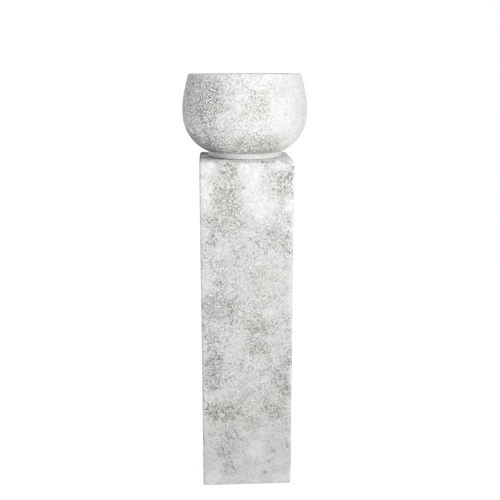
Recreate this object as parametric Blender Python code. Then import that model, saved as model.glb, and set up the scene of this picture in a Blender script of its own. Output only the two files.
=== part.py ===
"""A decorative column: a square pillar cast in fibre cement, open underneath, with its matching bowl on top."""

import math

import bmesh
import bpy

# Lengths are in metres. The origin is the middle of the column's foot, +Z is up and the front faces -Y.
COLUMN_WIDTH = 0.270
COLUMN_HEIGHT = 1.000
COLUMN_WALL = 0.014
COLUMN_TOP = 0.016
COLUMN_EDGE_RADIUS = 0.006
CAVITY_EDGE_RADIUS = 0.010

BOWL_HEIGHT = 0.240
BOWL_WALL = 0.013
BOWL_FLOOR = 0.016
BELLY_RADIUS = 0.1836
BELLY_HEIGHT = 0.140
RIM_RADIUS = 0.1655
FOOT_RADIUS = 0.108
FOOT_HEIGHT = 0.015
FOOT_EDGE_RADIUS = 0.003
FOOT_RING_WIDTH = 0.018
FOOT_RECESS = 0.003
CREASE_DEPTH = 0.0015
CREASE_HEIGHT = 0.003
BODY_OVERHANG = 0.003

# The most of the wall's thickness that its rounded foot edge may take, so that some flat is left to stand on
MOST_WALL_ROUNDED = 0.6

# How the bowl rests: the air left between its foot ring and the column's top
REST_GAP = 0.0003

# The belly's lower curve is a superellipse with these powers, and its upper curve draws in by this power
LOWER_RADIUS_POWER = 1.3
LOWER_HEIGHT_POWER = 2.5
UPPER_POWER = 1.6

# How finely the round shapes are faceted
EDGE_SEGMENTS = 4
BOWL_SEGMENTS = 64
LOWER_STEPS = 12
UPPER_STEPS = 6
LIP_STEPS = 6
FOOT_EDGE_STEPS = 3

CEMENT_WHITE = (0.66, 0.66, 0.64, 1.0)
CEMENT_ROUGHNESS = 0.9
SHARP_ANGLE = math.radians(35)


def clear_scene():
    for old in list(bpy.data.objects):
        bpy.data.objects.remove(old, do_unlink=True)


def cement(name):
    material = bpy.data.materials.new(name)
    material.use_nodes = True
    shader = material.node_tree.nodes["Principled BSDF"]
    shader.inputs["Base Color"].default_value = CEMENT_WHITE
    shader.inputs["Roughness"].default_value = CEMENT_ROUGHNESS
    shader.inputs["Metallic"].default_value = 0.0
    return material


def add_object(name, mesh):
    piece = bpy.data.objects.new(name, mesh)
    bpy.context.scene.collection.objects.link(piece)
    return piece


def box_object(name, width, bottom, top):
    """A square upright box, centred on the Z axis."""
    shape = bmesh.new()
    bmesh.ops.create_cube(shape, size=1.0)
    for corner in shape.verts:
        corner.co.x *= width
        corner.co.y *= width
        corner.co.z = top if corner.co.z > 0 else bottom
    mesh = bpy.data.meshes.new(name)
    shape.to_mesh(mesh)
    shape.free()
    return add_object(name, mesh)


def round_edges(piece, radius):
    bevel = piece.modifiers.new("rounded edges", "BEVEL")
    bevel.width = radius
    bevel.segments = EDGE_SEGMENTS
    bevel.limit_method = "NONE"


def shade_round(piece):
    piece.data.shade_smooth()
    piece.data.set_sharp_from_angle(angle=SHARP_ANGLE)


def build_column():
    """The pillar: a rounded square block, hollowed from below by a rounded square core."""
    column = box_object("column", COLUMN_WIDTH, 0.0, COLUMN_HEIGHT)
    round_edges(column, min(COLUMN_EDGE_RADIUS, COLUMN_WALL * MOST_WALL_ROUNDED))

    cavity_width = COLUMN_WIDTH - 2 * COLUMN_WALL
    below_foot = 3 * CAVITY_EDGE_RADIUS
    cavity = box_object("cavity_cutter", cavity_width, -below_foot, COLUMN_HEIGHT - COLUMN_TOP)
    round_edges(cavity, CAVITY_EDGE_RADIUS)
    cavity.hide_render = True
    cavity.display_type = "WIRE"

    hollow = column.modifiers.new("hollow", "BOOLEAN")
    hollow.operation = "DIFFERENCE"
    hollow.solver = "EXACT"
    hollow.object = cavity

    shade_round(column)
    column.data.materials.append(cement("column cement"))
    return column


def arc(centre, radius, start, end, steps):
    """Points (radius, height) on a round stretch, from one angle to another, both included."""
    points = []
    for step in range(steps + 1):
        angle = start + (end - start) * step / steps
        points.append((centre[0] + radius * math.cos(angle), centre[1] + radius * math.sin(angle)))
    return points


def parallel(points, distance):
    """The curve that runs this far to the left of the given one, without its two end points."""
    beside = []
    for before, here, after in zip(points, points[1:], points[2:]):
        run = after[0] - before[0]
        rise = after[1] - before[1]
        length = math.hypot(run, rise)
        beside.append((here[0] - distance * rise / length, here[1] + distance * run / length))
    return beside


def rim_lean():
    """How far the wall leans inwards where it meets the lip, as an angle."""
    lip_centre_height = BOWL_HEIGHT - BOWL_WALL / 2
    drawn_in = BELLY_RADIUS - RIM_RADIUS
    return math.atan2(UPPER_POWER * drawn_in, lip_centre_height - BELLY_HEIGHT)


def bowl_body():
    """The outer side from the foot ring up to the lip."""
    start_radius = FOOT_RADIUS + BODY_OVERHANG
    start_height = FOOT_HEIGHT + CREASE_HEIGHT
    points = []
    for step in range(LOWER_STEPS):
        angle = math.pi / 2 * step / LOWER_STEPS
        across = math.sin(angle) ** (2 / LOWER_RADIUS_POWER)
        down = math.cos(angle) ** (2 / LOWER_HEIGHT_POWER)
        radius = start_radius + (BELLY_RADIUS - start_radius) * across
        points.append((radius, BELLY_HEIGHT - (BELLY_HEIGHT - start_height) * down))

    lip_radius = BOWL_WALL / 2
    end_height = BOWL_HEIGHT - lip_radius + lip_radius * math.sin(rim_lean())
    for step in range(UPPER_STEPS + 1):
        share = step / UPPER_STEPS
        radius = BELLY_RADIUS - (BELLY_RADIUS - RIM_RADIUS) * share**UPPER_POWER
        points.append((radius, BELLY_HEIGHT + (end_height - BELLY_HEIGHT) * share))
    return points


def bowl_inside(body):
    """The inner side from the middle of the floor up to the lip: the outer side moved in by the wall."""
    floor_height = FOOT_RECESS + BOWL_FLOOR
    wall = [point for point in parallel(body, BOWL_WALL) if point[1] > floor_height]
    (low_radius, low_height), (next_radius, next_height) = wall[:2]
    slope = (next_radius - low_radius) / (next_height - low_height)
    floor_radius = low_radius - slope * (low_height - floor_height)
    return [(0.0, floor_height), (floor_radius, floor_height)] + wall


def bowl_foot():
    """The foot ring, from the crease under the body to the middle of the recess beneath."""
    crease = (FOOT_RADIUS - CREASE_DEPTH, FOOT_HEIGHT + CREASE_HEIGHT / 2)
    edge_centre = (FOOT_RADIUS - FOOT_EDGE_RADIUS, FOOT_EDGE_RADIUS)
    ring_inside = FOOT_RADIUS - FOOT_RING_WIDTH
    return (
        [crease, (FOOT_RADIUS, FOOT_HEIGHT)]
        + arc(edge_centre, FOOT_EDGE_RADIUS, 0.0, -math.pi / 2, FOOT_EDGE_STEPS)
        + [(ring_inside, 0.0), (ring_inside - FOOT_RECESS, FOOT_RECESS), (0.0, FOOT_RECESS)]
    )


def build_bowl():
    """The bowl, turned from one closed profile that runs up the inside, over the lip and down the outside."""
    body = bowl_body()
    lean = rim_lean()
    lip_radius = BOWL_WALL / 2
    lip_centre = (body[-1][0] - lip_radius * math.cos(lean), body[-1][1] - lip_radius * math.sin(lean))
    lip = arc(lip_centre, lip_radius, lean + math.pi, lean, LIP_STEPS)
    profile = bowl_inside(body) + lip + body[-2::-1] + bowl_foot()

    mesh = bpy.data.meshes.new("bowl")
    corners = [(radius, 0.0, height) for radius, height in profile]
    mesh.from_pydata(corners, [(i, i + 1) for i in range(len(corners) - 1)], [])
    bowl = add_object("bowl", mesh)
    bowl.location.z = COLUMN_HEIGHT + REST_GAP

    turn = bowl.modifiers.new("turned", "SCREW")
    turn.axis = "Z"
    turn.steps = BOWL_SEGMENTS
    turn.render_steps = BOWL_SEGMENTS
    turn.use_merge_vertices = True
    turn.merge_threshold = 0.00001
    turn.use_smooth_shade = True

    bowl.data.materials.append(cement("bowl cement"))
    return bowl


clear_scene()
build_column()
build_bowl()
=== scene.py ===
"""The looks of a decorative column and its bowl: whitewashed fibre cement, pitted, patchy and worn."""

import math

import bpy
import numpy as np
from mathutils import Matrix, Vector, noise


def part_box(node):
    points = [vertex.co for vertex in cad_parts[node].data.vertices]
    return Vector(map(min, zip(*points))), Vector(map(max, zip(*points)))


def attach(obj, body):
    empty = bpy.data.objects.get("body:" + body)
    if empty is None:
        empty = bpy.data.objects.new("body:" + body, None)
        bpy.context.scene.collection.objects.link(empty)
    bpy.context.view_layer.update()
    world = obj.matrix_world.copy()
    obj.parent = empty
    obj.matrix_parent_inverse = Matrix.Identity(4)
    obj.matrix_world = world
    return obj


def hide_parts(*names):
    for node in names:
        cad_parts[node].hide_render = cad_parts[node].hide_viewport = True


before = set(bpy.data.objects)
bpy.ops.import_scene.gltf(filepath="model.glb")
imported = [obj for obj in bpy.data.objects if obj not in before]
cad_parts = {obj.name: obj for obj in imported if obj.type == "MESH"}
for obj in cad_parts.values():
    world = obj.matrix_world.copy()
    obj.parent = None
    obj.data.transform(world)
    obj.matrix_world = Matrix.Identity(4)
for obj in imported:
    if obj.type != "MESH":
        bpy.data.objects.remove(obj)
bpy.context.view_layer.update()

COLUMN_LOW, COLUMN_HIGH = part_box("column")
BOWL_LOW, BOWL_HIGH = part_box("bowl")

# The camera, in metres and degrees: it stands off the column's axis, a little to the left of its front
CAMERA_DISTANCE = 2.414
CAMERA_SIDE = 0.0154
CAMERA_HEIGHT = 1.2592
CAMERA_TURN = math.radians(3.01)
CAMERA_DOWN = math.radians(12.76)
PHOTO_WIDTH_PX = 500
FOCAL_LENGTH_PX = 809
SENSOR_WIDTH_MM = 36.0

# Sizes of the column's shell, repeated from its solid
COLUMN_HALF = COLUMN_HIGH.x
COLUMN_HEIGHT = COLUMN_HIGH.z
COLUMN_WALL = 0.014
COLUMN_TOP = 0.016
COLUMN_EDGE_RADIUS = 0.006
COLUMN_FOOT_RADIUS = 0.0025
CAVITY_EDGE_RADIUS = 0.010
# The corners of a rounded outline keep at least this radius
LEAST_CORNER = 0.0015

# Sizes of the bowl's profile, repeated from its solid
BOWL_BASE = BOWL_LOW.z
BOWL_HEIGHT = 0.240
BOWL_WALL = 0.013
BOWL_FLOOR = 0.016
BELLY_RADIUS = 0.1836
BELLY_HEIGHT = 0.140
RIM_RADIUS = 0.1655
FOOT_RADIUS = 0.108
FOOT_HEIGHT = 0.015
FOOT_EDGE_RADIUS = 0.003
FOOT_RING_WIDTH = 0.018
FOOT_RECESS = 0.003
CREASE_DEPTH = 0.0015
CREASE_HEIGHT = 0.003
BODY_OVERHANG = 0.003
LOWER_RADIUS_POWER = 1.3
LOWER_HEIGHT_POWER = 2.5
UPPER_POWER = 1.6

# How finely the skins are meshed, and the radii of the bowl's ring under its foot and of its smallest rings
SIDE_STEPS = 69
CORNER_STEPS = 6
COLUMN_ROWS = 275
EDGE_ROWS = 5
TOP_ROWS = 16
CAVITY_ROWS = 12
BOWL_TURNS = 500
BOWL_STEP = 0.0023
BOWL_INSIDE_STEP = 0.006
UNDER_RADIUS = 0.05
MIDDLE_RADIUS = 0.002

# Patches of smooth, pale wash on the column's front, as (x, z, half width, half height, strength)
WASHED_PATCHES = [
    (0.012, 0.976, 0.036, 0.038, 1.0),
    (0.018, 0.920, 0.034, 0.050, 1.0),
    (0.042, 0.870, 0.044, 0.036, 1.0),
    (-0.113, 0.981, 0.030, 0.026, 1.0),
    (-0.122, 0.900, 0.024, 0.054, 1.0),
    (0.120, 0.875, 0.020, 0.026, 0.8),
    (0.084, 0.985, 0.028, 0.018, 0.7),
    (-0.124, 0.800, 0.014, 0.024, 0.5),
    (-0.012, 0.764, 0.036, 0.022, 0.25),
    (0.120, 0.800, 0.020, 0.018, 0.6),
    (-0.075, 0.730, 0.030, 0.016, 0.4),
    (0.081, 0.715, 0.018, 0.018, 0.5),
    (0.128, 0.655, 0.014, 0.030, 0.6),
    (-0.120, 0.640, 0.020, 0.024, 0.5),
    (-0.009, 0.614, 0.020, 0.022, 0.4),
    (0.040, 0.640, 0.045, 0.020, 0.3),
    (0.127, 0.585, 0.014, 0.034, 0.8),
    (0.075, 0.560, 0.030, 0.024, 0.4),
    (-0.033, 0.467, 0.020, 0.036, 0.5),
    (-0.054, 0.417, 0.026, 0.016, 0.4),
    (0.075, 0.470, 0.024, 0.024, 0.4),
    (-0.004, 0.344, 0.038, 0.022, 0.5),
    (-0.049, 0.322, 0.027, 0.018, 0.4),
    (0.060, 0.330, 0.020, 0.020, 0.3),
    (-0.100, 0.285, 0.020, 0.016, 0.5),
    (-0.125, 0.182, 0.012, 0.034, 0.6),
    (0.057, 0.164, 0.026, 0.016, 0.5),
    (0.027, 0.112, 0.023, 0.034, 0.7),
    (0.010, 0.060, 0.020, 0.020, 0.4),
    (-0.106, 0.025, 0.032, 0.024, 0.7),
    (0.104, 0.019, 0.034, 0.020, 0.7),
]
# Rough, darker patches of bare grit there
GRITTY_PATCHES = [
    (-0.051, 0.952, 0.036, 0.040, 0.75),
    (-0.072, 0.870, 0.044, 0.070, 0.8),
    (0.112, 0.930, 0.026, 0.034, 0.7),
    (-0.024, 0.815, 0.026, 0.026, 0.4),
    (0.075, 0.776, 0.058, 0.033, 0.48),
    (-0.105, 0.800, 0.018, 0.036, 0.6),
    (-0.045, 0.700, 0.050, 0.025, 0.4),
    (0.002, 0.742, 0.040, 0.022, 0.35),
    (0.034, 0.678, 0.018, 0.016, 0.5),
    (-0.080, 0.640, 0.030, 0.030, 0.4),
    (-0.099, 0.578, 0.031, 0.040, 1.0),
    (-0.042, 0.563, 0.020, 0.046, 0.8),
    (0.030, 0.510, 0.042, 0.034, 0.6),
    (0.035, 0.441, 0.030, 0.020, 0.8),
    (-0.105, 0.470, 0.026, 0.040, 0.6),
    (-0.093, 0.409, 0.022, 0.031, 0.8),
    (0.119, 0.405, 0.020, 0.022, 0.8),
    (-0.106, 0.352, 0.026, 0.030, 0.75),
    (0.098, 0.357, 0.026, 0.028, 0.8),
    (0.108, 0.309, 0.022, 0.022, 0.8),
    (-0.076, 0.243, 0.048, 0.026, 1.0),
    (0.078, 0.239, 0.024, 0.024, 0.9),
    (0.020, 0.211, 0.022, 0.014, 0.8),
    (0.119, 0.126, 0.012, 0.018, 0.7),
    (-0.062, 0.130, 0.030, 0.050, 0.8),
    (0.079, 0.114, 0.014, 0.014, 0.7),
    (-0.055, 0.060, 0.016, 0.030, 0.6),
    (0.055, 0.041, 0.012, 0.012, 0.6),
]
# Faint olive and beige stains there
STAINED_PATCHES = [
    (-0.050, 0.900, 0.030, 0.080, 0.45),
    (0.105, 0.900, 0.016, 0.030, 0.6),
    (0.050, 0.620, 0.050, 0.050, 0.35),
    (0.030, 0.520, 0.050, 0.030, 0.7),
    (0.060, 0.440, 0.050, 0.030, 0.5),
    (0.108, 0.309, 0.022, 0.026, 0.9),
    (-0.060, 0.245, 0.034, 0.026, 0.8),
    (0.020, 0.211, 0.020, 0.012, 1.0),
    (0.078, 0.239, 0.020, 0.020, 0.8),
    (-0.070, 0.040, 0.025, 0.016, 0.6),
    (0.000, 0.235, 0.120, 0.045, 0.85),
    (0.060, 0.660, 0.060, 0.030, 0.5),
]

# Hairline scratches there, each from (x, z) to (x, z)
SCRATCHES = [
    (-0.042, 0.189, -0.026, 0.159),
    (-0.026, 0.159, -0.012, 0.142),
    (-0.054, 0.083, -0.044, 0.071),
    (-0.047, 0.068, -0.039, 0.049),
    (-0.080, 0.105, -0.065, 0.101),
    (-0.074, 0.128, -0.074, 0.111),
    (-0.117, 0.148, -0.108, 0.142),
    (0.120, 0.130, 0.125, 0.119),
    (-0.124, 0.260, -0.116, 0.246),
    (-0.096, 0.775, -0.093, 0.750),
    (0.118, 0.804, 0.121, 0.789),
    (0.022, 0.770, 0.039, 0.747),
    (0.050, 0.741, 0.052, 0.730),
    (0.096, 0.763, 0.109, 0.746),
    (-0.013, 0.746, -0.002, 0.757),
    (-0.043, 0.746, -0.031, 0.734),
    (0.109, 0.744, 0.124, 0.734),
    (-0.111, 0.773, -0.119, 0.760),
]
# Deeper pits there, as (x, z)
DEEP_PITS = [
    (0.066, 0.077),
    (0.055, 0.040),
    (0.080, 0.111),
    (-0.026, 0.721),
    (0.061, 0.788),
    (-0.104, 0.905),
    (-0.010, 0.924),
    (0.120, 0.965),
]
DEEP_PIT_RADIUS = 0.0078

# Patches on the bowl, as (angle, height, half width, half height, strength). The angle is counted from the
# front to the right, and it and the half width are in degrees. A patch of grit above 1 is grime, and the two
# near -65 degrees are painted shade on the body's lower left, with some grime
WASHED_BOWL_PATCHES = [
    (55, 0.150, 38, 0.090, 0.65),
    (22, 0.200, 22, 0.040, 0.6),
    (-8, 0.200, 12, 0.040, 0.6),
    (-10, 0.085, 16, 0.024, 0.7),
    (8, 0.075, 20, 0.016, 0.6),
    (-38, 0.210, 12, 0.016, 0.5),
    (-21, 0.125, 7, 0.034, 0.8),
    (-11, 0.155, 6, 0.046, 0.85),
    (-9, 0.085, 7, 0.022, 0.9),
    (50, 0.040, 14, 0.020, 0.9),
]
GRIT_AND_SHADE_BOWL_PATCHES = [
    (-36, 0.170, 11, 0.046, 0.6),
    (-42, 0.130, 9, 0.034, 0.5),
    (-34, 0.100, 6, 0.024, 0.45),
    (-66, 0.120, 14, 0.080, 0.3),
    (-62, 0.222, 14, 0.016, 0.3),
    (10, 0.158, 10, 0.040, 0.48),
    (30, 0.200, 10, 0.020, 0.3),
    (-40, 0.040, 30, 0.034, 0.7),
    (-6, 0.042, 20, 0.036, 0.6),
    (20, 0.036, 18, 0.030, 0.8),
    (26, 0.030, 5, 0.008, 1.3),
    (34, 0.058, 10, 0.020, 0.35),
    (28, 0.070, 5, 0.012, 0.55),
    # Painted shade, with some grime: the body's lower left, which is in shade
    (-64, 0.036, 27, 0.025, 2.1),
    (-69, 0.064, 16, 0.018, 1.6),
    (62, 0.170, 24, 0.070, 0.22),
]
STAINED_BOWL_PATCHES = [
    (-24, 0.125, 14, 0.050, 0.5),
    (12, 0.130, 14, 0.050, 0.6),
    (14, 0.045, 40, 0.026, 0.7),
]

# A patch is at full strength inside PATCH_CORE of its half sizes, and ends at PATCH_REACH of them
PATCH_CORE = 0.35
PATCH_REACH = 1.7

# The column's top face: how chalky it is, and the place and half sizes of its back left corner, darkened by
# painted shadow of the bowl and by grime
TOP_CHALK = 1.35
TOP_SHADOW_AND_GRIME_PLACE = (-0.125, 0.09)
TOP_SHADOW_AND_GRIME_SIZE = (0.04, 0.075)
# How chalky the bowl's foot ring is, and where the painted contact shade and grime at its foot start to thin
# and end
FOOT_CHALK = 1.6
FOOT_SHADE_AND_GRIME_HEIGHTS = (0.0015, 0.0055)

# How deep the relief is, in metres: broad waves, fine wrinkles, pits, chips on the edges and their wear
COLUMN_WAVES = 0.0005
COLUMN_WRINKLES = 0.00025
COLUMN_PITS = 0.0008
BOWL_WAVES = 0.0006
BOWL_WRINKLES = 0.0002
BOWL_PITS = 0.0006
CHIP_DEPTH = 0.0011
WEAR_DEPTH = 0.0004

# What each point of a skin stores for the cement material, each from 0 to about 2
LOOKS = ("washed", "grit_and_shade", "stained", "speckled", "stroked", "pitted")


def shifted(point, scale, shift):
    """This place in a noise with features of 1/scale metres. Another shift gives another noise."""
    return Vector((point[0] * scale + shift, point[1] * scale - shift, point[2] * scale + 2 * shift))


def waves(point, scale, shift):
    """Smooth noise, from about -1 to 1."""
    return noise.noise(shifted(point, scale, shift))


def layered(point, scale, shift, octaves):
    """Noise with finer octaves laid over it, mostly from -0.6 to 0.6."""
    return noise.fractal(shifted(point, scale, shift), 1.0, 2.0, octaves)


def soft_step(value, low, high):
    """0 up to low, 1 from high on, and a smooth rise between them."""
    share = min(1.0, max(0.0, (value - low) / (high - low)))
    return share * share * (3 - 2 * share)


def toward(value, goal, share):
    """The value, moved this share of the way to the goal."""
    return value + share * (goal - value)


def pit_depth(point, scale, shift, share_pitted):
    """How deep the nearest pit is here, from 0 to 1. Each cell of 1/scale metres holds a pit or none."""
    distances, centres = noise.voronoi(shifted(point, scale, shift))
    chance = 0.5 + 0.5 * noise.cell(centres[0] * 7.3)
    if chance >= share_pitted:
        return 0.0
    radius = 0.2 + 0.2 * chance / share_pitted
    return 1.0 - soft_step(distances[0], 0.4 * radius, radius)


def patch_field(patches, across, up):
    """How strong the strongest of some soft oval patches is at this place, or 0 outside them all."""
    strongest = 0.0
    for centre, height, half_width, half_height, strength in patches:
        out = math.hypot((across - centre) / half_width, (up - height) / half_height)
        if out < PATCH_REACH:
            strongest = max(strongest, strength * (1.0 - soft_step(out, PATCH_CORE, PATCH_REACH)))
    return strongest


def mark_scratches(mesh):
    """Stores how far off the nearest scratch each point of the front is, and how far from its nearer end."""
    points = points_and_normals(mesh)[0]
    nearest = np.full(len(points), 1.0)
    off = np.full(len(points), 1.0)
    along = np.full(len(points), -1.0)
    front = points[:, 1] < -COLUMN_HALF + COLUMN_EDGE_RADIUS
    for x0, z0, x1, z1 in SCRATCHES:
        length = math.hypot(x1 - x0, z1 - z0)
        run_x, run_z = (x1 - x0) / length, (z1 - z0) / length
        to_x, to_z = points[:, 0] - x0, points[:, 2] - z0
        forward = to_x * run_x + to_z * run_z
        sideways = to_x * run_z - to_z * run_x
        past_ends = np.maximum(0.0, np.maximum(-forward, forward - length))
        distance = np.hypot(sideways, past_ends)
        closer = front & (distance < nearest)
        nearest[closer] = distance[closer]
        off[closer] = sideways[closer]
        along[closer] = np.minimum(forward, length - forward)[closer]
    add_attribute(mesh, "scratch_off", off)
    add_attribute(mesh, "scratch_along", along)


def add_attribute(mesh, name, values):
    attribute = mesh.attributes.new(name, "FLOAT", "POINT")
    attribute.data.foreach_set("value", np.asarray(values, np.float32))


def rounded_square(half, corner):
    """An array of points (x, y) round a square with rounded corners, from its right front corner on."""
    points = []
    for quarter in range(4):
        turn = math.pi / 2 * quarter
        cos, sin = math.cos(turn), math.sin(turn)
        local = []
        for step in range(CORNER_STEPS):
            angle = -math.pi / 2 + math.pi / 2 * step / CORNER_STEPS
            across = half - corner + corner * math.cos(angle)
            local.append((across, -half + corner + corner * math.sin(angle)))
        for step in range(SIDE_STEPS):
            local.append((half, -half + corner + 2 * (half - corner) * step / SIDE_STEPS))
        points += [(x * cos - y * sin, x * sin + y * cos) for x, y in local]
    return np.array(points)


def mesh_of_rings(name, rings):
    """A closed skin through rings of points, arrays of (x, y, z), with a middle point at each end."""
    count = len(rings[0])
    corners = np.vstack([rings[0].mean(axis=0)[None]] + rings + [rings[-1].mean(axis=0)[None]])
    last = len(corners) - 1
    faces = []
    for i in range(count):
        j = (i + 1) % count
        faces.append((0, 1 + i, 1 + j))
        for k in range(len(rings) - 1):
            here, below = 1 + k * count, 1 + (k + 1) * count
            faces.append((here + i, below + i, below + j, here + j))
        end = 1 + (len(rings) - 1) * count
        faces.append((end + i, last, end + j))
    mesh = bpy.data.meshes.new(name)
    mesh.from_pydata(corners.tolist(), [], faces)
    mesh.update()
    mesh.shade_smooth()
    return mesh


def points_and_normals(mesh):
    points = np.empty(len(mesh.vertices) * 3)
    normals = np.empty(len(mesh.vertices) * 3)
    mesh.vertices.foreach_get("co", points)
    mesh.vertices.foreach_get("normal", normals)
    return points.reshape(-1, 3), normals.reshape(-1, 3)


def column_rings():
    """Rings from the top's middle, over the rounded edge, down the sides, round the foot and up inside."""
    upright_corner = COLUMN_EDGE_RADIUS + LEAST_CORNER
    flat_half = COLUMN_HALF - COLUMN_EDGE_RADIUS
    rings = []

    def add(outline, height, scale=1.0):
        rings.append(np.column_stack([outline * scale, np.full(len(outline), height)]))

    def edge_outline(angle):
        drawn_in = COLUMN_EDGE_RADIUS * (1 - math.cos(angle))
        return rounded_square(COLUMN_HALF - drawn_in, upright_corner - drawn_in)

    # The top face's middle is coarser, because the bowl covers it
    top_outline = rounded_square(flat_half, upright_corner - COLUMN_EDGE_RADIUS)
    for scale in (0.02, 0.2, 0.4):
        add(top_outline, COLUMN_HEIGHT, scale)
    for row in range(TOP_ROWS):
        add(top_outline, COLUMN_HEIGHT, 0.52 + 0.48 * row / TOP_ROWS)
    for row in range(EDGE_ROWS):
        angle = math.pi / 2 * (1 - row / EDGE_ROWS)
        add(edge_outline(angle), COLUMN_HEIGHT - COLUMN_EDGE_RADIUS * (1 - math.sin(angle)))
    side_outline = edge_outline(0.0)
    side_height = COLUMN_HEIGHT - COLUMN_EDGE_RADIUS - COLUMN_FOOT_RADIUS
    for row in range(COLUMN_ROWS):
        add(side_outline, COLUMN_HEIGHT - COLUMN_EDGE_RADIUS - side_height * row / COLUMN_ROWS)
    for row in range(EDGE_ROWS + 1):
        angle = math.pi / 2 * row / EDGE_ROWS
        drawn_in = COLUMN_FOOT_RADIUS * (1 - math.cos(angle))
        outline = rounded_square(COLUMN_HALF - drawn_in, upright_corner - drawn_in)
        add(outline, COLUMN_FOOT_RADIUS * (1 - math.sin(angle)))

    cavity_half = COLUMN_HALF - COLUMN_WALL
    cavity_top = COLUMN_HEIGHT - COLUMN_TOP
    cavity_outline = rounded_square(cavity_half, CAVITY_EDGE_RADIUS)
    straight = cavity_top - CAVITY_EDGE_RADIUS
    for row in range(CAVITY_ROWS):
        add(cavity_outline, straight * row / CAVITY_ROWS)
    for row in range(EDGE_ROWS + 1):
        angle = math.pi / 2 * row / EDGE_ROWS
        drawn_in = CAVITY_EDGE_RADIUS * (1 - math.cos(angle))
        outline = rounded_square(cavity_half - drawn_in, max(LEAST_CORNER, CAVITY_EDGE_RADIUS - drawn_in))
        add(outline, straight + CAVITY_EDGE_RADIUS * math.sin(angle))
    ceiling_outline = rounded_square(cavity_half - CAVITY_EDGE_RADIUS, LEAST_CORNER)
    for scale in (0.75, 0.5, 0.25, 0.02):
        add(ceiling_outline, cavity_top, scale)
    return rings


def column_surface(point):
    """LOOKS and the relief of the column's cement at this place."""
    x, y, z = point
    # Noise moves the patches' outlines about
    across = x + 0.012 * waves(point, 34, 3.0) + 0.006 * waves(point, 95, 6.0)
    up = z + 0.014 * waves(point, 34, 9.0) + 0.006 * waves(point, 95, 12.0)
    cloud = layered(point, 13, 21.0, 4)
    washed = 0.7 * soft_step(cloud, 0.05, 0.7)
    grit_and_shade = 0.7 * soft_step(-cloud, 0.0, 0.6)
    stained = 0.6 * soft_step(layered(point, 9, 77.0, 3), 0.0, 0.6)
    speckled = 0.95 + 0.4 * layered(point, 10, 91.0, 2)
    front = 1.0 - soft_step(y, -COLUMN_HALF, -COLUMN_HALF + 0.03)
    if front > 0:
        wash_here = patch_field(WASHED_PATCHES, across, up)
        grit_here = patch_field(GRITTY_PATCHES, across, up)
        stain_here = patch_field(STAINED_PATCHES, across, up)
        smooth_foot = 1.0 - soft_step(z, 0.1, 0.22)
        wash_here = max(wash_here, 0.3 * smooth_foot * (1.0 - min(1.0, grit_here)))
        washed = toward(washed, wash_here + 0.35 * washed * (1 - grit_here), front)
        grit_and_shade = toward(grit_and_shade, grit_here + 0.35 * grit_and_shade * (1 - wash_here), front)
        stained = toward(stained, stain_here + 0.3 * stained, front)
        banded = 0.54 + 0.42 * soft_step(z, 0.14, 0.28) + 0.22 * soft_step(z, 0.75, 0.9)
        speckled = toward(speckled, banded + 0.3 * (speckled - 0.95), front)
    # The upright edges are rubbed pale
    to_corner = max(COLUMN_HALF - abs(x), COLUMN_HALF - abs(y))
    rubbed = soft_step(layered(point, 22, 33.0, 3), -0.5, 0.4)
    washed = max(washed, 0.8 * rubbed * (1.0 - soft_step(to_corner, 0.002, 0.014)))
    if z > COLUMN_HEIGHT - 0.001:
        # The top's back left corner is darkened: painted shadow of the bowl, with some grime
        shadow_grime_x, shadow_grime_y = TOP_SHADOW_AND_GRIME_PLACE
        shadow_grime_width, shadow_grime_depth = TOP_SHADOW_AND_GRIME_SIZE
        from_shadow_grime = math.hypot((x - shadow_grime_x) / shadow_grime_width, (y - shadow_grime_y) / shadow_grime_depth)
        shade_and_grime = 1.0 - soft_step(from_shadow_grime, 0.4, 1.3)
        bare_right = soft_step(x + 0.3 * y, 0.02, 0.085)
        washed = TOP_CHALK * (1.0 - shade_and_grime) * (1.0 - 0.45 * bare_right)
        grit_and_shade = 0.4 * grit_and_shade + 1.6 * shade_and_grime + 0.2 * bare_right
        stained = 0.6 * bare_right
        speckled = 1.8
    # The top edge is worn down to the grit
    top_edge = max(COLUMN_HEIGHT - z, COLUMN_HALF - max(abs(x), abs(y)))
    worn_top = 1.0 - soft_step(top_edge, 0.004, 0.010)
    worn_top *= soft_step(layered(point, 40, 53.0, 3), -0.6, 0.2)
    washed -= 0.7 * worn_top * washed
    grit_and_shade = max(grit_and_shade, 0.9 * worn_top)
    pitted = pit_depth(point, 62, 31.0, 0.10 + 0.4 * grit_and_shade)
    if front > 0:
        for pit_x, pit_z in DEEP_PITS:
            away = math.hypot(x - pit_x, z - pit_z)
            if away < DEEP_PIT_RADIUS:
                pitted = max(pitted, 2.0 * (1.0 - soft_step(away, 0.0, DEEP_PIT_RADIUS)))
    relief = COLUMN_WAVES * waves(point, 11, 5.0)
    relief += COLUMN_WRINKLES * (0.3 + grit_and_shade) * layered(point, 55, 12.0, 2)
    relief -= COLUMN_PITS * pitted
    stroked = 1.35 - 1.25 * soft_step(z, 0.42, 0.7) - 0.5 * (1.0 - soft_step(z, 0.12, 0.28))
    return washed, grit_and_shade, stained, speckled, stroked, pitted, relief


def edge_wear(point):
    """How far a chipped edge is worn back here, in metres."""
    x, y, z = point
    from_faces = [abs(abs(x) - COLUMN_HALF), abs(abs(y) - COLUMN_HALF), abs(z - COLUMN_HEIGHT), abs(z)]
    from_edge = sorted(from_faces)[1]
    nearness = 1.0 - soft_step(from_edge, 0.0015, 0.010)
    if nearness <= 0:
        return 0.0
    chips = soft_step(layered(point, 34, 44.0, 3), 0.25, 0.75)
    wear = soft_step(waves(point, 16, 50.0), -0.3, 0.8)
    return nearness * (CHIP_DEPTH * chips + WEAR_DEPTH * wear)


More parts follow.
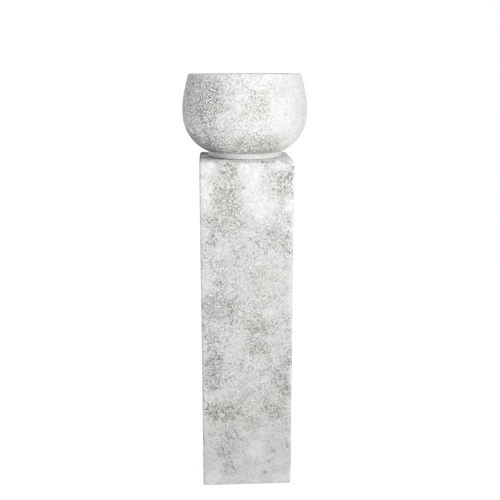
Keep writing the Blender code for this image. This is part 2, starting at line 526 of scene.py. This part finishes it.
def dress(mesh, surface, skipped, inside):
    """Moves the skin's points in and out by their relief, and stores their LOOKS.

    A skipped point stays where it is, and is bare cement with its usual specks.
    """
    points, normals = points_and_normals(mesh)
    fields = np.zeros((len(points), len(LOOKS) + 1))
    fields[:, LOOKS.index("speckled")] = 1.0
    for i in np.flatnonzero(~skipped):
        fields[i] = surface(points[i], inside[i])
    mesh.vertices.foreach_set("co", (points + normals * fields[:, -1:]).ravel())
    mesh.update()
    for index, name in enumerate(LOOKS):
        add_attribute(mesh, name, fields[:, index])


def add_piece(mesh, material, node):
    piece = bpy.data.objects.new(mesh.name, mesh)
    bpy.context.scene.collection.objects.link(piece)
    mesh.materials.append(material)
    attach(piece, "root")
    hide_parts(node)


def build_column():
    mesh = mesh_of_rings("column_cast", column_rings())
    points = points_and_normals(mesh)[0]
    under_wall = np.abs(points[:, :2]).max(axis=1) < COLUMN_HALF - 0.9 * COLUMN_WALL
    inside = under_wall & (points[:, 2] < COLUMN_HEIGHT - 0.9 * COLUMN_TOP)

    def surface(point, _):
        *looks, relief = column_surface(point)
        relief -= edge_wear(point)
        if point[2] > COLUMN_HEIGHT - 0.0005:
            relief = min(relief, 0.0)
        return *looks, relief

    mark_scratches(mesh)
    dress(mesh, surface, inside | (points[:, 2] < 0.0005), inside)
    material = cement("column cement", COLUMN_SPECKS, COLUMN_MOTTLING, COLUMN_SMOOTHING)
    add_piece(mesh, material, "column")


def arc(centre, radius, start, end, steps):
    """Points (radius, height) on a round stretch, from one angle to another, both included."""
    points = []
    for step in range(steps + 1):
        angle = start + (end - start) * step / steps
        points.append((centre[0] + radius * math.cos(angle), centre[1] + radius * math.sin(angle)))
    return points


def parallel(points, distance):
    """The curve that runs this far to the left of the given one, without its two end points."""
    beside = []
    for before, here, after in zip(points, points[1:], points[2:]):
        run = after[0] - before[0]
        rise = after[1] - before[1]
        length = math.hypot(run, rise)
        beside.append((here[0] - distance * rise / length, here[1] + distance * run / length))
    return beside


def evenly(points, spacing):
    """The same curve with points at about this spacing."""
    curve = np.array(points)
    lengths = np.hypot(*np.diff(curve, axis=0).T)
    along = np.concatenate([[0.0], np.cumsum(lengths)])
    count = max(2, round(along[-1] / spacing) + 1)
    places = np.linspace(0.0, along[-1], count)
    return list(zip(np.interp(places, along, curve[:, 0]), np.interp(places, along, curve[:, 1])))


def bowl_body(lean):
    """The outer side from the foot ring up to the lip."""
    start_radius = FOOT_RADIUS + BODY_OVERHANG
    start_height = FOOT_HEIGHT + CREASE_HEIGHT
    fine_steps = 120
    points = []
    for step in range(fine_steps):
        angle = math.pi / 2 * step / fine_steps
        across = math.sin(angle) ** (2 / LOWER_RADIUS_POWER)
        down = math.cos(angle) ** (2 / LOWER_HEIGHT_POWER)
        radius = start_radius + (BELLY_RADIUS - start_radius) * across
        points.append((radius, BELLY_HEIGHT - (BELLY_HEIGHT - start_height) * down))
    lip_radius = BOWL_WALL / 2
    end_height = BOWL_HEIGHT - lip_radius + lip_radius * math.sin(lean)
    for step in range(fine_steps + 1):
        share = step / fine_steps
        radius = BELLY_RADIUS - (BELLY_RADIUS - RIM_RADIUS) * share**UPPER_POWER
        points.append((radius, BELLY_HEIGHT + (end_height - BELLY_HEIGHT) * share))
    return points


def bowl_profile():
    """(profile, number of its points inside): up the inside, over the lip, down the outside and under."""
    lip_radius = BOWL_WALL / 2
    lean = math.atan2(UPPER_POWER * (BELLY_RADIUS - RIM_RADIUS), BOWL_HEIGHT - lip_radius - BELLY_HEIGHT)
    body = bowl_body(lean)
    lip_centre = (body[-1][0] - lip_radius * math.cos(lean), body[-1][1] - lip_radius * math.sin(lean))
    lip = arc(lip_centre, lip_radius, lean + math.pi, lean, 10)

    floor_height = FOOT_RECESS + BOWL_FLOOR
    wall = [point for point in parallel(body, BOWL_WALL) if point[1] > floor_height]
    # The inner wall goes on to the floor with the slope that it has a little above it
    low, following = wall[4], wall[12]
    slope = (following[0] - low[0]) / (following[1] - low[1])
    floor_edge = (low[0] - slope * (low[1] - floor_height), floor_height)
    inner = evenly([(MIDDLE_RADIUS, floor_height), floor_edge] + wall[4:], BOWL_INSIDE_STEP)

    crease = (FOOT_RADIUS - CREASE_DEPTH, FOOT_HEIGHT + CREASE_HEIGHT / 2)
    ring_top = (FOOT_RADIUS, FOOT_HEIGHT)
    edge_centre = (FOOT_RADIUS - FOOT_EDGE_RADIUS, FOOT_EDGE_RADIUS)
    ring_inside = FOOT_RADIUS - FOOT_RING_WIDTH
    outer = evenly(body[::-1], BOWL_STEP)
    foot = evenly([ring_top, (FOOT_RADIUS, FOOT_EDGE_RADIUS)], BOWL_STEP)[:-1]
    foot += arc(edge_centre, FOOT_EDGE_RADIUS, 0.0, -math.pi / 2, 4)
    recess_edge = ring_inside - FOOT_RECESS
    under = [(ring_inside, 0.0)] + [(r, FOOT_RECESS) for r in (recess_edge, UNDER_RADIUS, MIDDLE_RADIUS)]
    return inner + lip + outer[1:] + [crease] + foot + under, len(inner)


def bowl_surface(point, inside):
    """LOOKS and the relief of the bowl's cement at this place."""
    x, y, z = point
    height = z - BOWL_BASE
    angle = math.degrees(math.atan2(x, -y))
    warped_angle = angle + 4.0 * waves(point, 34, 13.0) + 2.0 * waves(point, 95, 16.0)
    up = height + 0.020 * waves(point, 28, 19.0) + 0.007 * waves(point, 95, 22.0)
    cloud = layered(point, 15, 61.0, 4)
    washed = 0.55 + 0.35 * soft_step(cloud, -0.2, 0.6)
    grit_and_shade = 0.7 * soft_step(-cloud, 0.05, 0.55)
    stained = 0.5 * soft_step(layered(point, 11, 87.0, 3), 0.0, 0.6)
    speckled = 1.4 + 0.5 * layered(point, 10, 95.0, 2)
    front = 1.0 - soft_step(abs(angle), 75, 110)
    if inside:
        washed = 0.4 * washed
        grit_and_shade = 0.2 + 0.4 * grit_and_shade
        speckled = 0.7 * speckled
        stained = max(stained, 0.7 * (1.0 - soft_step(up, 0.03, 0.12)))
    elif front > 0:
        wash_here = patch_field(WASHED_BOWL_PATCHES, warped_angle, up)
        grit_here = patch_field(GRIT_AND_SHADE_BOWL_PATCHES, warped_angle, up)
        stain_here = patch_field(STAINED_BOWL_PATCHES, warped_angle, up)
        front_washed = max(wash_here, 0.65) * max(0.0, 1 - grit_here)
        washed = toward(washed, front_washed + 0.3 * (washed - 0.8), front)
        grit_and_shade = toward(grit_and_shade, max(grit_here, 0.15) + 0.3 * grit_and_shade * (1 - wash_here), front)
        stained = toward(stained, stain_here + 0.3 * stained, front)
        banded = 0.7 + 1.0 * soft_step(-angle, -28, -10) + 1.4 * soft_step(-angle, 5, 45)
        speckled = toward(speckled, banded + 0.3 * (speckled - 1.4), front)
    if not inside:
        # Grit shows low on the body, with painted shade under the belly, both less at the right where the
        # light falls, and the foot ring under it is chalky
        grit_and_shade_band = 1.0 - soft_step(up, 0.022, 0.085)
        grit_and_shade_band *= soft_step(height, FOOT_HEIGHT, FOOT_HEIGHT + CREASE_HEIGHT)
        grit_and_shade_band *= 1.0 - 0.75 * front * soft_step(angle, 24, 46)
        grit_and_shade = max(grit_and_shade, 0.7 * grit_and_shade_band)
        washed *= 1.0 - 0.7 * grit_and_shade_band
        speckled = max(speckled, 2.0 * grit_and_shade_band)
        if height < FOOT_HEIGHT + CREASE_HEIGHT / 2:
            # Painted contact shade, with some grime, along the bottom of the foot ring's left part, where it
            # stands on the column
            shade_and_grime = (1.0 - soft_step(height, *FOOT_SHADE_AND_GRIME_HEIGHTS)) * (1.0 - soft_step(angle, -45, 15))
            washed = FOOT_CHALK * (1.0 - shade_and_grime)
            grit_and_shade = 0.1 + 1.8 * shade_and_grime
            speckled = 0.6
    pitted = pit_depth(point, 88, 71.0, 0.15 + 0.5 * grit_and_shade)
    relief = BOWL_WAVES * waves(point, 12, 8.0)
    relief += BOWL_WRINKLES * (0.4 + grit_and_shade) * layered(point, 75, 15.0, 2)
    relief -= BOWL_PITS * pitted
    stroked = 0.15
    return washed, grit_and_shade, stained, speckled, stroked, pitted, relief


def build_bowl():
    profile, inside_count = bowl_profile()
    rings = []
    turns = np.linspace(0.0, 2 * math.pi, BOWL_TURNS, endpoint=False)
    for radius, height in profile:
        ring = [radius * np.cos(turns), radius * np.sin(turns), np.full(BOWL_TURNS, BOWL_BASE + height)]
        rings.append(np.column_stack(ring))
    mesh = mesh_of_rings("bowl_turned", rings)
    points = points_and_normals(mesh)[0]
    inside = np.arange(len(points)) <= inside_count * BOWL_TURNS
    dress(mesh, bowl_surface, points[:, 2] < BOWL_BASE + 0.001, inside)
    material = cement("bowl cement", BOWL_SPECKS, BOWL_MOTTLING, BOWL_SMOOTHING)
    add_piece(mesh, material, "bowl")


class Nodes:
    """Short ways to add the shader nodes that the cement is made of."""

    def __init__(self, tree):
        self.tree = tree

    def add(self, kind, inputs=None, **settings):
        node = self.tree.nodes.new(kind)
        for key, value in settings.items():
            setattr(node, key, value)
        for key, value in (inputs or {}).items():
            if isinstance(value, bpy.types.NodeSocket):
                self.tree.links.new(value, node.inputs[key])
            else:
                node.inputs[key].default_value = value
        return node

    def attribute(self, name):
        return self.add("ShaderNodeAttribute", attribute_name=name).outputs["Fac"]

    def noise(self, place, scale, detail=3.0, roughness=0.55, distortion=0.0):
        inputs = {"Vector": place, "Scale": scale, "Detail": detail, "Roughness": roughness}
        inputs["Distortion"] = distortion
        return self.add("ShaderNodeTexNoise", inputs).outputs["Fac"]

    def cells(self, place, scale):
        return self.add("ShaderNodeTexVoronoi", {"Vector": place, "Scale": scale, "Randomness": 1.0})

    def math(self, operation, first, second=0.0, third=0.0):
        node = self.add("ShaderNodeMath", {0: first, 1: second, 2: third}, operation=operation)
        return node.outputs["Value"]

    def spread(self, value, low, high, to_low=0.0, to_high=1.0):
        """The value, taken smoothly from the stretch low to high to the stretch to_low to to_high."""
        inputs = {"Value": value, "From Min": low, "From Max": high, "To Min": to_low, "To Max": to_high}
        return self.add("ShaderNodeMapRange", inputs, interpolation_type="SMOOTHSTEP").outputs["Result"]

    def tinted(self, colour, tone):
        """The colour made darker or lighter by a number near 1."""
        grey = self.add("ShaderNodeCombineColor", {0: tone, 1: tone, 2: tone}).outputs[0]
        return self.mix(1.0, colour, grey, "MULTIPLY")

    def mix(self, share, first, second, blend="MIX"):
        """Two colours mixed. The node's colours are its inputs 6 and 7 and its output 2."""
        node = self.add("ShaderNodeMix", data_type="RGBA", blend_type=blend)
        for index, value in ((0, share), (6, first), (7, second)):
            if isinstance(value, bpy.types.NodeSocket):
                self.tree.links.new(value, node.inputs[index])
            else:
                node.inputs[index].default_value = value
        return node.outputs[2]


# The cement's colours
WASH_WHITE = (0.791, 0.797, 0.8, 1.0)
WASH_THIN = (0.684, 0.684, 0.666, 1.0)
GRIT_PALE = (0.684, 0.681, 0.664, 1.0)
GRIT_DARK = (0.575, 0.574, 0.55, 1.0)
CHALK_WHITE = (0.93, 0.93, 0.92, 1.0)
GRIME_AND_SHADE = (0.33, 0.335, 0.335, 1.0)
STAIN = (0.96, 0.965, 0.89, 1.0)
PIT_DARK = (0.24, 0.24, 0.23, 1.0)
# The tone at the column's foot, as a share of the tone at its top: painted shade that darkens the column
# towards its foot
FOOT_PAINTED_SHADE = 0.87
SCRATCH_WIDTH = 0.0032
# How fine the specks are, how strong the mottling is, and how far wash smooths the specks away
COLUMN_SPECKS = 290
BOWL_SPECKS = 430
COLUMN_MOTTLING = 1.0
BOWL_MOTTLING = 0.5
COLUMN_SMOOTHING = 0.74
BOWL_SMOOTHING = 0.5


def cement(name, speck_scale, mottling, smoothing):
    """Whitewashed fibre cement: smooth pale wash in patches, over grey-beige grit with specks and pits."""
    material = bpy.data.materials.new(name)
    material.use_nodes = True
    nodes = Nodes(material.node_tree)
    shader = material.node_tree.nodes["Principled BSDF"]
    place = nodes.add("ShaderNodeTexCoord").outputs["Object"]
    washed = nodes.attribute("washed")
    grit_and_shade = nodes.attribute("grit_and_shade")
    speckled = nodes.attribute("speckled")
    stroked = nodes.attribute("stroked")

    clouds = nodes.noise(place, 16, detail=6.0, roughness=0.65)
    feather = nodes.noise(place, 60, detail=4.0, roughness=0.7)
    blots = nodes.noise(place, 38, detail=3.0, roughness=0.6, distortion=1.2)
    wisps = nodes.noise(place, 85, detail=3.0, roughness=0.6, distortion=1.2)
    specks = nodes.noise(place, speck_scale, detail=3.0, roughness=0.6, distortion=1.4)
    strokes = nodes.noise(place, 105, detail=2.0, roughness=0.5, distortion=3.5)
    grain = nodes.noise(place, 540, detail=1.0)

    # How far the wash covers the grit: first it smooths it, then it whitens it
    cover = nodes.math("MULTIPLY_ADD", feather, 0.4, -0.2)
    cover = nodes.math("ADD", cover, nodes.math("MULTIPLY_ADD", clouds, 0.3, -0.15))
    cover = nodes.math("ADD", cover, nodes.math("MULTIPLY_ADD", specks, 0.4, -0.2))
    cover = nodes.math("ADD", cover, washed)
    smooth = nodes.spread(cover, 0.0, 0.75)
    white = nodes.spread(cover, 0.1, 1.0)
    bare = nodes.math("MULTIPLY_ADD", feather, 0.5, -0.25)
    bare = nodes.spread(nodes.math("ADD", bare, grit_and_shade), 0.0, 1.0)

    grit = nodes.mix(bare, GRIT_PALE, GRIT_DARK)
    # Past 1 the grit darkens to grime and to painted shade: the top's shaded back left corner, the bowl's
    # shaded lower left and the contact shade along its foot
    grit = nodes.mix(nodes.spread(grit_and_shade, 1.0, 2.0), grit, GRIME_AND_SHADE)
    wash = nodes.mix(white, WASH_THIN, WASH_WHITE)
    wash = nodes.mix(nodes.spread(cover, 1.05, 1.45), wash, CHALK_WHITE)
    colour = nodes.mix(smooth, grit, wash)
    stain = nodes.math("MULTIPLY", nodes.attribute("stained"), nodes.spread(clouds, 0.35, 0.6))
    colour = nodes.mix(stain, colour, nodes.mix(1.0, colour, STAIN, "MULTIPLY"))

    # Mottling, stronger where the cement is rough, and painted shade that darkens the column towards its
    # foot
    mottle = nodes.math("MULTIPLY_ADD", blots, 0.45, nodes.math("MULTIPLY", wisps, 0.55))
    mottle = nodes.spread(mottle, 0.36, 0.64, -0.13 * mottling, 0.09 * mottling)
    rough = nodes.math("MULTIPLY", nodes.math("MULTIPLY_ADD", bare, 0.8, 0.5), stroked)
    rough = nodes.math("MULTIPLY", rough, nodes.math("MULTIPLY_ADD", smooth, -0.7, 1.0))
    mottle_share = nodes.math("MULTIPLY_ADD", rough, 0.9, nodes.math("MULTIPLY", speckled, 0.8))
    colour = nodes.tinted(colour, nodes.math("MULTIPLY_ADD", mottle, mottle_share, 1.0))
    height = nodes.add("ShaderNodeSeparateXYZ", {"Vector": place}).outputs["Z"]
    colour = nodes.tinted(colour, nodes.spread(height, 0.0, COLUMN_HEIGHT, FOOT_PAINTED_SHADE, 1.0))

    # Specks and the short strokes of a brush, both fainter under smooth wash
    contrast = nodes.math("MULTIPLY_ADD", bare, 0.31, 0.37)
    contrast = nodes.math("MULTIPLY", contrast, nodes.spread(wisps, 0.35, 0.65, 1.7, 0.4))
    contrast = nodes.math("MULTIPLY", contrast, speckled)
    contrast = nodes.math("MULTIPLY", contrast, nodes.math("MULTIPLY_ADD", smooth, -smoothing, 1.0))
    grain_tone = nodes.spread(grain, 0.3, 0.7, -0.6, 0.6)
    speck_tone = nodes.math("ADD", nodes.spread(specks, 0.33, 0.67, -1.0, 1.0), grain_tone)
    stroke_tone = nodes.math("MULTIPLY", nodes.spread(strokes, 0.32, 0.6, -0.24, 0.12), rough)
    speck_tone = nodes.math("MULTIPLY_ADD", speck_tone, contrast, nodes.math("ADD", stroke_tone, 1.0))
    colour = nodes.tinted(colour, speck_tone)

    # Pits: small and crowded where the grit is bare, single pinholes elsewhere, and those in the relief
    pit_cells = nodes.cells(place, 0.7 * speck_scale).outputs["Distance"]
    pit_reach = nodes.math("MULTIPLY_ADD", bare, 0.16, nodes.spread(feather, 0.45, 0.75, 0.0, 0.2))
    pits = nodes.spread(nodes.math("SUBTRACT", pit_reach, pit_cells), 0.0, 0.08)
    pin_cells = nodes.cells(place, 0.32 * speck_scale)
    pin_chance = nodes.add("ShaderNodeSeparateColor", {"Color": pin_cells.outputs["Color"]}).outputs[0]
    pin_chance = nodes.math("MULTIPLY_ADD", smooth, -0.25, pin_chance)
    pin_reach = nodes.spread(pin_chance, 0.6, 0.92, 0.0, 0.3)
    pins = nodes.spread(nodes.math("SUBTRACT", pin_reach, pin_cells.outputs["Distance"]), 0.0, 0.07)
    pits = nodes.math("MAXIMUM", pits, pins)
    pit_tone = nodes.math("MULTIPLY", pits, nodes.spread(speckled, 0.4, 1.6, 0.35, 0.8))
    colour = nodes.mix(pit_tone, colour, PIT_DARK)
    # The pits in the relief are darkened by their depth: dirt in them, and painted shade
    colour = nodes.mix(nodes.math("MULTIPLY", nodes.attribute("pitted"), 0.4), colour, PIT_DARK)

    # Hairline scratches, a little crooked
    off = nodes.math("MULTIPLY_ADD", feather, 0.006, nodes.attribute("scratch_off"))
    off = nodes.math("ABSOLUTE", nodes.math("SUBTRACT", off, 0.003))
    scratch = nodes.spread(off, SCRATCH_WIDTH / 4, SCRATCH_WIDTH, 1.0, 0.0)
    scratch = nodes.math("MULTIPLY", scratch, nodes.spread(nodes.attribute("scratch_along"), 0.0, 0.006))
    colour = nodes.mix(nodes.math("MULTIPLY", scratch, 0.75), colour, PIT_DARK)
    material.node_tree.links.new(colour, shader.inputs["Base Color"])

    material.node_tree.links.new(nodes.spread(smooth, 0.0, 1.0, 0.95, 0.8), shader.inputs["Roughness"])
    shader.inputs["Specular IOR Level"].default_value = 0.25

    bumps = nodes.math("MULTIPLY", specks, nodes.math("MULTIPLY_ADD", contrast, 1.5, 0.2))
    bumps = nodes.math("MULTIPLY_ADD", grain, 0.12, bumps)
    bumps = nodes.math("MULTIPLY_ADD", pits, -0.6, bumps)
    bumps = nodes.math("MULTIPLY_ADD", scratch, -0.6, bumps)
    bump = nodes.add("ShaderNodeBump", {"Strength": 0.9, "Distance": 0.0012, "Height": bumps})
    material.node_tree.links.new(bump.outputs["Normal"], shader.inputs["Normal"])
    return material


def build_camera():
    data = bpy.data.cameras.new("camera")
    data.sensor_width = SENSOR_WIDTH_MM
    data.lens = SENSOR_WIDTH_MM * FOCAL_LENGTH_PX / PHOTO_WIDTH_PX
    camera = bpy.data.objects.new("camera", data)
    bpy.context.scene.collection.objects.link(camera)
    cos, sin = math.cos(-CAMERA_TURN), math.sin(-CAMERA_TURN)
    across, back = CAMERA_SIDE, -CAMERA_DISTANCE
    camera.location = (across * cos - back * sin, across * sin + back * cos, CAMERA_HEIGHT)
    camera.rotation_euler = (math.pi / 2 - CAMERA_DOWN, 0.0, -CAMERA_TURN)
    bpy.context.scene.camera = camera


FLOOR_SIZE = 120.0
FLOOR_COLOUR = (0.28, 0.28, 0.28, 1.0)
FLOOR_GLOW = 0.92
GLOW_COLOUR = (0.955, 0.98, 1.0, 1.0)


def build_floor():
    half = FLOOR_SIZE / 2
    mesh = bpy.data.meshes.new("floor")
    corners = [(-half, -half, 0), (half, -half, 0), (half, half, 0), (-half, half, 0)]
    mesh.from_pydata(corners, [], [(0, 1, 2, 3)])
    floor = bpy.data.objects.new("floor", mesh)
    bpy.context.scene.collection.objects.link(floor)
    material = bpy.data.materials.new("floor")
    material.use_nodes = True
    shader = material.node_tree.nodes["Principled BSDF"]
    shader.inputs["Base Color"].default_value = FLOOR_COLOUR
    shader.inputs["Roughness"].default_value = 1.0
    shader.inputs["Specular IOR Level"].default_value = 0.0
    shader.inputs["Emission Color"].default_value = GLOW_COLOUR
    shader.inputs["Emission Strength"].default_value = FLOOR_GLOW
    mesh.materials.append(material)


# The studio light: a big soft box to the right of the camera, a soft light from above and a back fill
KEY_AZIMUTH = math.radians(27)
KEY_DISTANCE = 1.8
KEY_HEIGHT = 1.8
KEY_SIZE = 1.3
KEY_WATTS = 18.3
KEY_COLOUR = (1.0, 0.975, 0.92)
AIM_HEIGHT = 0.9
TOP_STRENGTH = 1.15
TOP_PLACE = (0.6, -1.0, 1.9)
TOP_SOFTNESS = math.radians(60)
FILL_WATTS = 15.0
FILL_PLACE = (0.4, 2.2, 2.0)
FILL_SIZE = 1.5
SURROUND_STRENGTH = 0.24
SURROUND_COLOUR = (0.86, 0.93, 1.0, 1.0)
BACKDROP_COLOUR = (1.0, 1.0, 1.0, 1.0)


def add_light(name, kind, place, aim, **settings):
    data = bpy.data.lights.new(name, kind)
    for key, value in settings.items():
        setattr(data, key, value)
    light = bpy.data.objects.new(name, data)
    light.location = place
    light.rotation_euler = (Vector(place) - Vector(aim)).to_track_quat("Z", "Y").to_euler()
    light.visible_camera = False
    bpy.context.scene.collection.objects.link(light)


def build_lights():
    key_place = (KEY_DISTANCE * math.sin(KEY_AZIMUTH), -KEY_DISTANCE * math.cos(KEY_AZIMUTH), KEY_HEIGHT)
    key = {"energy": KEY_WATTS, "size": KEY_SIZE, "color": KEY_COLOUR}
    add_light("key light", "AREA", key_place, (0, 0, AIM_HEIGHT), **key)
    add_light("top light", "SUN", TOP_PLACE, (0, 0, 0), energy=TOP_STRENGTH, angle=TOP_SOFTNESS)
    add_light("back fill", "AREA", FILL_PLACE, (0, 0, AIM_HEIGHT), energy=FILL_WATTS, size=FILL_SIZE)

    world = bpy.data.worlds.new("studio")
    world.use_nodes = True
    nodes = Nodes(world.node_tree)
    seen = nodes.add("ShaderNodeLightPath").outputs["Is Camera Ray"]
    surround = [SURROUND_STRENGTH * part for part in SURROUND_COLOUR[:3]] + [1.0]
    background = world.node_tree.nodes["Background"]
    world.node_tree.links.new(nodes.mix(seen, surround, BACKDROP_COLOUR), background.inputs["Color"])
    bpy.context.scene.world = world
    bpy.context.scene.view_settings.view_transform = "Standard"


build_camera()
build_floor()
build_lights()
build_column()
build_bowl()
